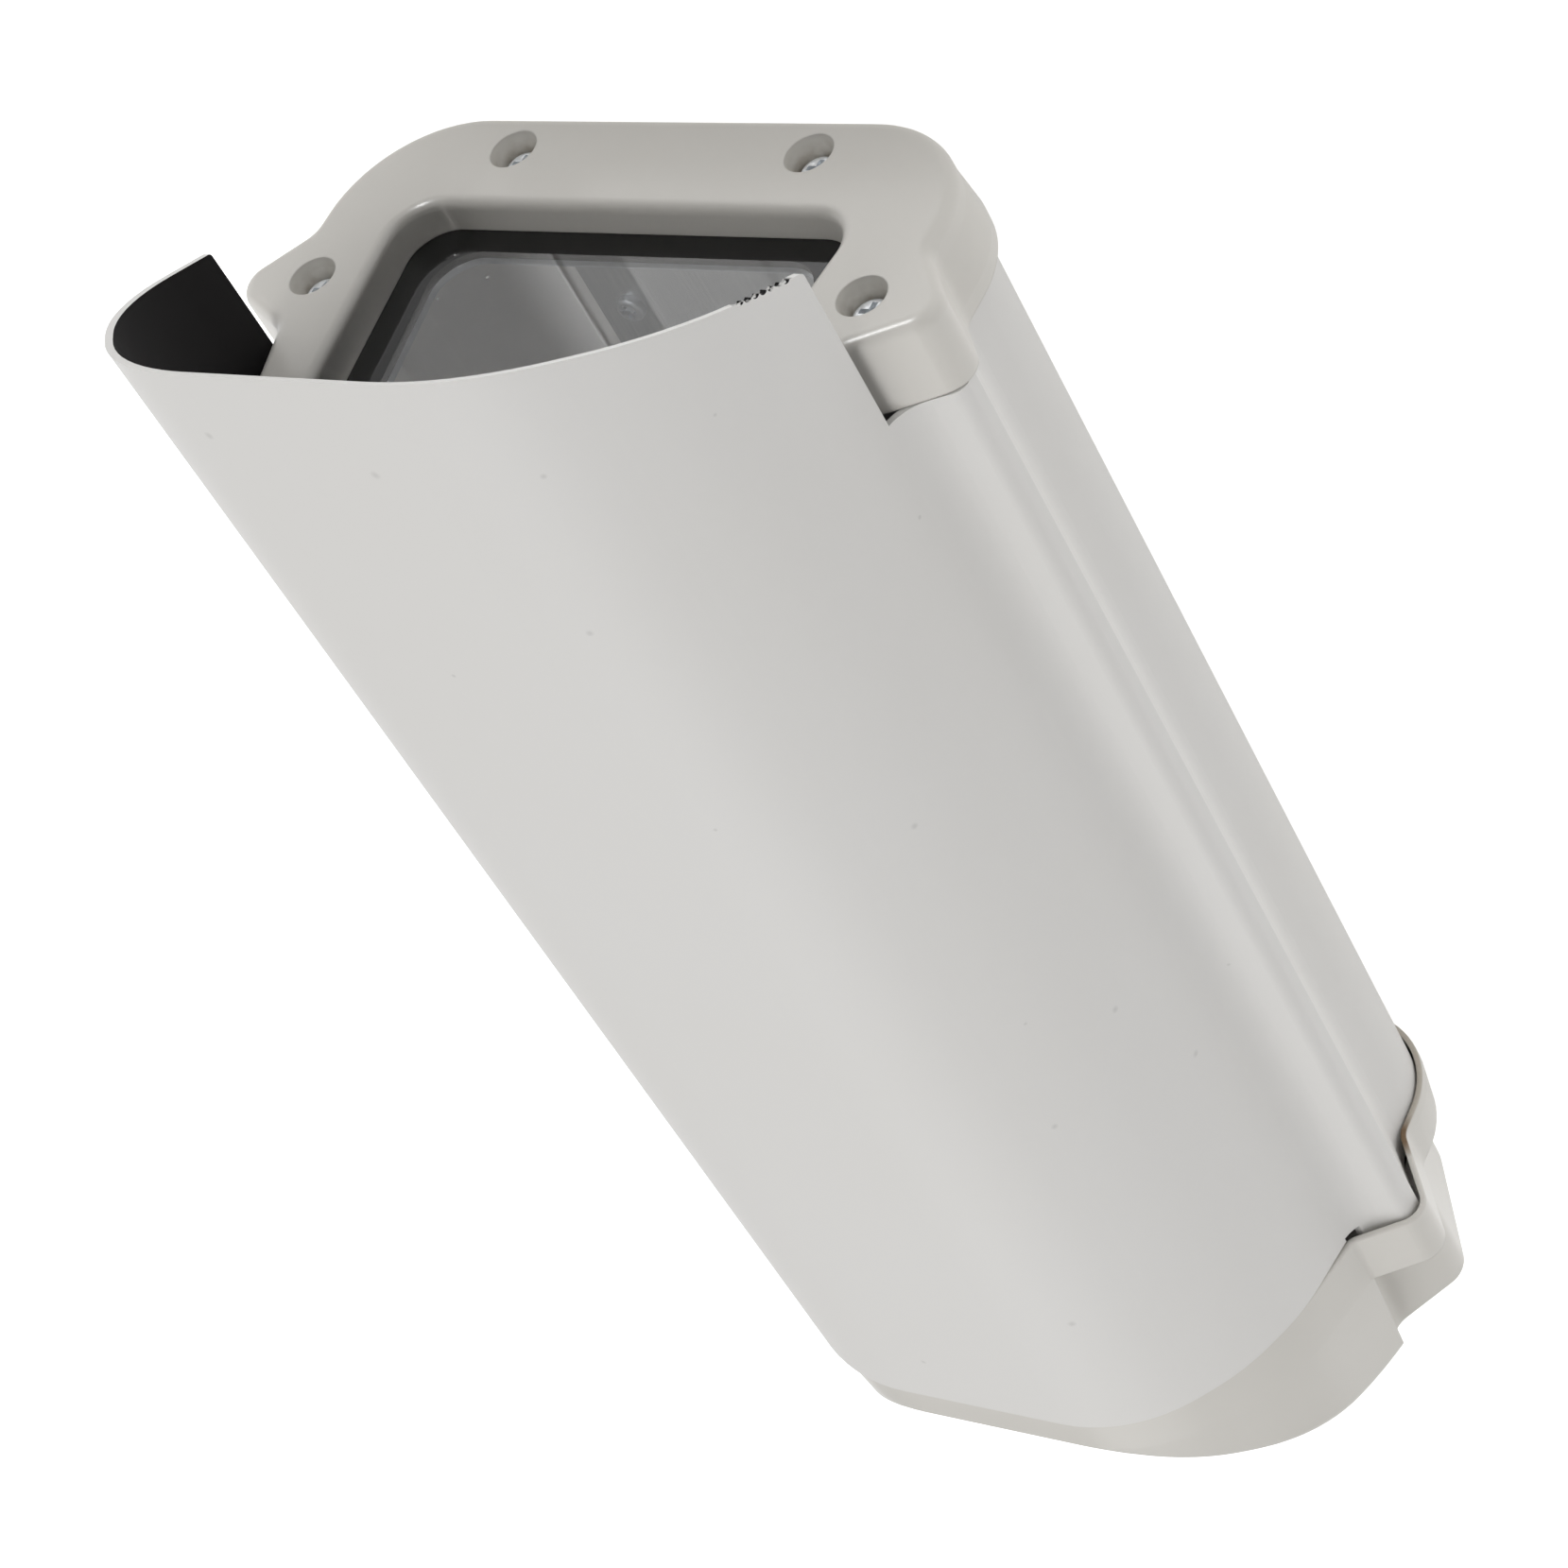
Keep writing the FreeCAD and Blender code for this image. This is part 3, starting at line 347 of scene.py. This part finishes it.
glass, skin, place = finish_named("float_glass", GLASS_ROUGHNESS)
skin.inputs["IOR"].default_value = GLASS_IOR
dust = None
for centre, radius in in_metres(DUST_SPECKS):
    away = add(glass, "VectorMath", {"operation": "DISTANCE", 1: centre}, {0: place}, "Value")
    spot = add(glass, "MapRange", {"From Min": radius, "From Max": radius / 2}, {"Value": away}, "Result")
    if dust is None:
        dust = spot
    else:
        dust = add(glass, "Math", {"operation": "MAXIMUM"}, {0: dust, 1: spot}, "Value")
dusty = add(glass, "Mix", {"data_type": "RGBA", FIRST: linear(CLEAR_WHITE), SECOND: linear(DUST_GREY)},
            {FACTOR: dust}, MIXED)
clear = add(glass, "Math", {"operation": "SUBTRACT", 0: 1.0}, {1: dust}, "Value")
glass.node_tree.links.new(skin.inputs["Base Color"], dusty)
glass.node_tree.links.new(skin.inputs["Transmission Weight"], clear)
dress(glass, "window_glass")
nodes["window_glass"].visible_shadow = False

# Seals
# Black closed-cell foam strip round the window and under both caps, a little greyed.
# It is die cut, so its cut cells show as fine pits, drawn coarser than they are.
CELL_WIDTH = 0.0006
CELL_DEPTH = 0.00001
FOAM_DRIFT_WIDTH = 0.008
FOAM_BLACK = "#2C2B28"
FOAM_WORN = "#353431"
FOAM_ROUGHNESS = 0.9
FOAM_SPECULAR = 0.15

foam, skin, place = finish_named("closed_cell_foam", FOAM_ROUGHNESS)
skin.inputs["Specular IOR Level"].default_value = FOAM_SPECULAR
cells = add(foam, "TexVoronoi", {"Scale": 1 / CELL_WIDTH}, {"Vector": place}, "Distance")
drift = add(foam, "TexNoise", {"Scale": 1 / FOAM_DRIFT_WIDTH, "Detail": 2.0}, {"Vector": place}, "Fac")
greyed = add(foam, "Mix", {"data_type": "RGBA", FIRST: linear(FOAM_BLACK), SECOND: linear(FOAM_WORN)},
             {FACTOR: drift}, MIXED)
finish(foam, skin, greyed, cells, CELL_DEPTH)
dress(foam, "window_gasket", "front_gasket", "rear_gasket")

# Gland seals
# Moulded neoprene, black, with a grey bloom in patches and the fine skin of its mould.
NEOPRENE_BLACK = "#1A1A1B"
NEOPRENE_BLOOM = "#262626"
NEOPRENE_ROUGHNESS = 0.6
NEOPRENE_IOR = 1.52
BLOOM_WIDTH = 0.004
RUBBER_SKIN_WIDTH = 0.0004
RUBBER_SKIN_DEPTH = 0.00001

neoprene, skin, place = finish_named("moulded_neoprene", NEOPRENE_ROUGHNESS)
skin.inputs["IOR"].default_value = NEOPRENE_IOR
bloom = add(neoprene, "TexNoise", {"Scale": 1 / BLOOM_WIDTH, "Detail": 3.0}, {"Vector": place}, "Fac")
pores = add(neoprene, "TexNoise", {"Scale": 1 / RUBBER_SKIN_WIDTH, "Detail": 1.0}, {"Vector": place}, "Fac")
bloomed = add(neoprene, "Mix",
              {"data_type": "RGBA", FIRST: linear(NEOPRENE_BLACK), SECOND: linear(NEOPRENE_BLOOM)},
              {FACTOR: bloom}, MIXED)
finish(neoprene, skin, bloomed, pores, RUBBER_SKIN_DEPTH)
dress(neoprene, "gland_inserts", "gland_seals")

# Inner screws and window retainer
# Steel, zinc plated and passivated clear: bright, slightly blue, with a soft cloud in
# its gloss and fine marks from tumbling in the plating barrel.
ZINC_BRIGHT = "#D5D8DB"
ZINC_CLOUD = "#BFC3C8"
ZINC_ROUGHNESS = (0.26, 0.46)
ZINC_CLOUD_WIDTH = 0.003
ZINC_MARK_WIDTH = 0.0007
ZINC_MARK_DEPTH = 0.00001

zinc, skin, place = finish_named("zinc_plated_steel", ZINC_ROUGHNESS[0], metallic=1.0)
cloud = add(zinc, "TexNoise", {"Scale": 1 / ZINC_CLOUD_WIDTH, "Detail": 3.0}, {"Vector": place}, "Fac")
dull = add(zinc, "MapRange", {"To Min": ZINC_ROUGHNESS[0], "To Max": ZINC_ROUGHNESS[1]},
           {"Value": cloud}, "Result")
zinc.node_tree.links.new(skin.inputs["Roughness"], dull)
marks = add(zinc, "TexNoise", {"Scale": 1 / ZINC_MARK_WIDTH, "Detail": 4.0}, {"Vector": place}, "Fac")
clouded = add(zinc, "Mix", {"data_type": "RGBA", FIRST: linear(ZINC_BRIGHT), SECOND: linear(ZINC_CLOUD)},
              {FACTOR: cloud}, MIXED)
finish(zinc, skin, clouded, marks, ZINC_MARK_DEPTH)
dress(zinc, "retainer_screws", "window_retainer", "tray_screws", "camera_screw", "camera_washer")

# Cap screws
# Their heads are cold headed, so the zinc plating lies on a coarse stamped skin that
# throws small bright and dark facets. The zinc is also painted lighter towards the
# middle of each facet, a painted highlight.
HEAD_HIGHLIGHT_ZINC = "#F4F6F8"
HEAD_ROUGHNESS = (0.38, 0.6)
HEAD_FACET_WIDTH = 0.0011
HEAD_FACET_DEPTH = 0.00011
HEAD_FACET_STRENGTH = 1.0

head, skin, place = finish_named("zinc_plated_stamped_head", HEAD_ROUGHNESS[0], metallic=1.0)
facets = add(head, "TexVoronoi", {"Scale": 1 / HEAD_FACET_WIDTH}, {"Vector": place}, "Distance")
dull = add(head, "MapRange", {"To Min": HEAD_ROUGHNESS[0], "To Max": HEAD_ROUGHNESS[1]},
           {"Value": facets}, "Result")
head.node_tree.links.new(skin.inputs["Roughness"], dull)
# The middle of each facet is painted a lighter zinc: a painted highlight.
facet_highlights = add(head, "Mix", {"data_type": "RGBA", FIRST: linear(HEAD_HIGHLIGHT_ZINC), SECOND: linear(ZINC_BRIGHT)},
              {FACTOR: facets}, MIXED)
finish(head, skin, facet_highlights, facets, HEAD_FACET_DEPTH, HEAD_FACET_STRENGTH)
dress(head, "front_screws", "rear_screws")

# Camera tray
# Aluminium strip in its mill finish, rolled along its length, so fine lines run that
# way in its colour and gloss.
ROLL_LINE_WIDTH = 0.0006
ROLL_LINE_LENGTH = 0.03
ROLL_LINE_DEPTH = 0.000006
MILL_BRIGHT = "#C9CBCC"
MILL_DULL = "#B4B7B9"
MILL_ROUGHNESS = (0.32, 0.5)

mill, skin, place = finish_named("mill_finish_aluminium", MILL_ROUGHNESS[0], metallic=1.0)
line_scale = (1 / ROLL_LINE_WIDTH, 1 / ROLL_LINE_LENGTH, 1 / ROLL_LINE_WIDTH)
stretched = add(mill, "VectorMath", {"operation": "MULTIPLY", 1: line_scale}, {0: place}, "Vector")
lines = add(mill, "TexNoise", {"Scale": 1.0, "Detail": 2.0}, {"Vector": stretched}, "Fac")
dull = add(mill, "MapRange", {"To Min": MILL_ROUGHNESS[0], "To Max": MILL_ROUGHNESS[1]},
           {"Value": lines}, "Result")
mill.node_tree.links.new(skin.inputs["Roughness"], dull)
rolled = add(mill, "Mix", {"data_type": "RGBA", FIRST: linear(MILL_BRIGHT), SECOND: linear(MILL_DULL)},
             {FACTOR: lines}, MIXED)
finish(mill, skin, rolled, lines, ROLL_LINE_DEPTH)
dress(mill, "camera_tray")

# Earth stud
# A brass screw with its washer and nut for the cable's earth lead, turned from bar
# and a little tarnished.
BRASS_BRIGHT = "#CDAA63"
BRASS_TARNISH = "#A07F45"
BRASS_ROUGHNESS = 0.35
TARNISH_WIDTH = 0.0025
TARNISH_LEVEL = (0.4, 0.75)
TURNING_WIDTH = 0.0005
TURNING_DEPTH = 0.000004

brass, skin, place = finish_named("turned_brass", BRASS_ROUGHNESS, metallic=1.0)
patches = add(brass, "TexNoise", {"Scale": 1 / TARNISH_WIDTH, "Detail": 3.0}, {"Vector": place}, "Fac")
tarnish = add(brass, "MapRange", {"From Min": TARNISH_LEVEL[0], "From Max": TARNISH_LEVEL[1]},
              {"Value": patches}, "Result")
turning = add(brass, "TexWave", {"wave_type": "RINGS", "rings_direction": "Z", "Scale": 1 / TURNING_WIDTH},
              {"Vector": place}, "Fac")
tarnished = add(brass, "Mix",
                {"data_type": "RGBA", FIRST: linear(BRASS_BRIGHT), SECOND: linear(BRASS_TARNISH)},
                {FACTOR: tarnish}, MIXED)
finish(brass, skin, tarnished, turning, TURNING_DEPTH)
dress(brass, "earth_screw", "earth_washer", "earth_nut")

# Cable glands
# Moulded nylon in a light grey close to the cap's, with a satin skin and a faint
# flow mottle. The dome nuts press the neoprene round the cables.
NYLON_GREY = "#C4C3BD"
NYLON_PALE = "#CDCCC6"
NYLON_ROUGHNESS = 0.42
NYLON_IOR = 1.53
NYLON_FLOW_WIDTH = 0.006
NYLON_SKIN_WIDTH = 0.0004
NYLON_SKIN_DEPTH = 0.000006
NYLON_SKIN_STRENGTH = 0.5
NYLON_SOFT_EDGE = 0.0003

nylon, skin, place = finish_named("moulded_nylon", NYLON_ROUGHNESS)
skin.inputs["IOR"].default_value = NYLON_IOR
flow = add(nylon, "TexNoise", {"Scale": 1 / NYLON_FLOW_WIDTH, "Detail": 3.0}, {"Vector": place}, "Fac")
satin = add(nylon, "TexNoise", {"Scale": 1 / NYLON_SKIN_WIDTH, "Detail": 1.0}, {"Vector": place}, "Fac")
soft = add(nylon, "Bevel", {"samples": EDGE_SAMPLES, "Radius": NYLON_SOFT_EDGE}, out="Normal")
mottled = add(nylon, "Mix", {"data_type": "RGBA", FIRST: linear(NYLON_GREY), SECOND: linear(NYLON_PALE)},
              {FACTOR: flow}, MIXED)
finish(nylon, skin, mottled, satin, NYLON_SKIN_DEPTH, NYLON_SKIN_STRENGTH, soft)
dress(nylon, "gland_bodies", "gland_nuts", "gland_locknuts")

# Floor
# A seamless pale sweep, bright enough to lose its own shadows. It glows more where
# the camera sees it than where it lights the housing.
FLOOR_HALF = 6.0
FLOOR_WHITE = "#F4F4F4"
FLOOR_FIBRE = "#F2F2F2"
FLOOR_FIBRE_WIDTH = 0.4
FLOOR_ROUGHNESS = 0.9
FLOOR_GLOW = 0.28
FLOOR_GLOW_SEEN = 0.75


def stage_sheet(name, corners, unseen_by=()):
    """A flat four-cornered sheet of the studio, which the kinds of ray named don't see."""
    mesh = bpy.data.meshes.new(name)
    mesh.from_pydata(corners, [], [(0, 1, 2, 3)])
    sheet = bpy.data.objects.new(name, mesh)
    for ray in unseen_by:
        setattr(sheet, "visible_" + ray, False)
    scene.collection.objects.link(sheet)
    sheet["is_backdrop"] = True
    return sheet


FLOOR_CORNERS = [(-FLOOR_HALF, -FLOOR_HALF, 0), (FLOOR_HALF, -FLOOR_HALF, 0),
                 (FLOOR_HALF, FLOOR_HALF, 0), (-FLOOR_HALF, FLOOR_HALF, 0)]

floor = stage_sheet("floor", FLOOR_CORNERS)
paper, skin, place = finish_named("floor_paper", FLOOR_ROUGHNESS)
fibres = add(paper, "TexNoise", {"Scale": 1 / FLOOR_FIBRE_WIDTH, "Detail": 2.0}, {"Vector": place}, "Fac")
pale = add(paper, "Mix", {"data_type": "RGBA", FIRST: linear(FLOOR_WHITE), SECOND: linear(FLOOR_FIBRE)},
           {FACTOR: fibres}, MIXED)
seen = add(paper, "LightPath", out="Is Camera Ray")
glow = add(paper, "MapRange", {"To Min": FLOOR_GLOW, "To Max": FLOOR_GLOW_SEEN}, {"Value": seen}, "Result")
paper.node_tree.links.new(skin.inputs["Base Color"], pale)
paper.node_tree.links.new(skin.inputs["Emission Strength"], glow)
skin.inputs["Emission Color"].default_value = (1, 1, 1, 1)
floor.data.materials.append(paper)

# Studio card
# A card on the floor ahead of the window, which only gloss and glass see. Light and
# dark bands cross it, and their mirror image is the stripes on the pane.
CARD_X = (-0.060, 0.130)
CARD_Y = (-0.260, -0.150)
CARD_HEIGHT = 0.001

# Each band starts at a place across the housing, in millimetres, with its brightness.
CARD_BANDS = [
    (-60, 1.55), (-10, 1.55), (-2.2, 1.55), (-1.6, 1.2), (0, 1.2), (0.6, 1.55), (29, 1.55), (31, 1.75),
    (32, 1.0), (46.6, 1.0), (47.0, 0.2), (47.7, 0.2), (48.0, 1.9), (49.2, 1.6), (55, 1.1), (62, 0.65),
    (130, 0.6),
]
CARD_BRIGHTEST = 2.5

card = stage_sheet("studio_card", [(CARD_X[0], CARD_Y[0], CARD_HEIGHT), (CARD_X[1], CARD_Y[0], CARD_HEIGHT),
                                   (CARD_X[1], CARD_Y[1], CARD_HEIGHT), (CARD_X[0], CARD_Y[1], CARD_HEIGHT)],
                   ("camera", "diffuse", "volume_scatter", "shadow"))
bands = bpy.data.materials.new("banded_card")
bands.use_nodes = True
bands.node_tree.nodes.clear()
place = add(bands, "TexCoord", out="Object")
across = add(bands, "SeparateXYZ", links={0: place}, out="X")
share = add(bands, "MapRange", {"From Min": CARD_X[0], "From Max": CARD_X[1]}, {"Value": across}, "Result")
ramp = add(bands, "ValToRGB", links={0: share})
stops = ramp.color_ramp.elements
while len(stops) < len(CARD_BANDS):
    stops.new(0.5)
for stop, (where, level) in zip(stops, CARD_BANDS):
    stop.position = (where / 1000 - CARD_X[0]) / (CARD_X[1] - CARD_X[0])
for stop, (where, level) in zip(stops, CARD_BANDS):
    stop.color = [level / CARD_BRIGHTEST] * 3 + [1]
glow = add(bands, "Emission", {"Strength": CARD_BRIGHTEST}, {"Color": ramp.outputs["Color"]}, "Emission")
add(bands, "OutputMaterial", links={"Surface": glow})
card.data.materials.append(bands)

# Flag
# A matte black card stands ahead of the window, near its edge, and keeps the light
# off the recess wall there. The camera and the pane don't see it.
FLAG_X = 0.041
FLAG_Y = (-0.144, -0.1295)
FLAG_Z = (0.024, 0.076)
FLAG_BLACK = "#101010"
FLAG_ROUGHNESS = 0.9

flag = stage_sheet("flag", [(FLAG_X, FLAG_Y[0], FLAG_Z[0]), (FLAG_X, FLAG_Y[1], FLAG_Z[0]),
                            (FLAG_X, FLAG_Y[1], FLAG_Z[1]), (FLAG_X, FLAG_Y[0], FLAG_Z[1])],
                   ("camera", "glossy", "transmission", "volume_scatter"))
matte, skin, place = finish_named("matte_flag", FLAG_ROUGHNESS)
skin.inputs["Base Color"].default_value = linear(FLAG_BLACK)
flag.data.materials.append(matte)

# Lights
# Six soft boxes stand round the housing on one sphere and aim at its middle: one
# overhead, two high in front and behind, and three low at its right, back and left
# rear. Each row gives its bearing and height in degrees, and its power.
BOX_SIZE = 1.3
BOX_DISTANCE = 1.8
AIM = Vector((0, 0, 0.05))
SOFT_BOXES = {
    "overhead": (0, 90, 7.65),
    "high_front": (0, 55, 4.55),
    "high_back": (180, 55, 5.85),
    "low_right": (90, 22, 5.35),
    "low_back": (180, 22, 0.9),
    "low_left_back": (225, 22, 1.55),
}


def square_light(name, place, size, power):
    """A square light that aims at the housing's middle."""
    light = bpy.data.lights.new(name, "AREA")
    light.shape = "SQUARE"
    light.size = size
    light.energy = power
    lamp = bpy.data.objects.new(name, light)
    lamp.location = place
    lamp.rotation_mode = "QUATERNION"
    lamp.rotation_quaternion = (AIM - place).to_track_quat("-Z", "Y")
    scene.collection.objects.link(lamp)
    return lamp


for name, (bearing, height, power) in SOFT_BOXES.items():
    bearing, height = math.radians(bearing), math.radians(height)
    toward = Vector((math.sin(bearing) * math.cos(height), -math.cos(bearing) * math.cos(height),
                     math.sin(height)))
    square_light("soft_box_" + name, BOX_DISTANCE * toward, BOX_SIZE, power)

# Gloss lamp
# A small lamp low in front is seen only in gloss: it draws the bright lines along
# the front cap's rounded edges and sparks on the screw heads.
LAMP_PLACE = Vector((0.31, -1.73, 0.42))
LAMP_SIZE = 0.3
LAMP_POWER = 18.0

gloss_lamp = square_light("gloss_lamp", LAMP_PLACE, LAMP_SIZE, LAMP_POWER)
for ray in ("diffuse", "transmission", "volume_scatter"):
    setattr(gloss_lamp, "visible_" + ray, False)

# Surround
# Dim where it lights the housing, and white where the camera sees it past the
# floor's edge.
SURROUND_STRENGTH = 0.3
SURROUND_SEEN = 1.0

surround = bpy.data.worlds.new("surround")
surround.use_nodes = True
sky = surround.node_tree.nodes["Background"]
seen = add(surround, "LightPath", out="Is Camera Ray")
glow = add(surround, "MapRange", {"To Min": SURROUND_STRENGTH, "To Max": SURROUND_SEEN},
           {"Value": seen}, "Result")
surround.node_tree.links.new(sky.inputs["Strength"], glow)
sky.inputs["Color"].default_value = (1, 1, 1, 1)
scene.world = surround

# Sizes after dressing
low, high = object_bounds()
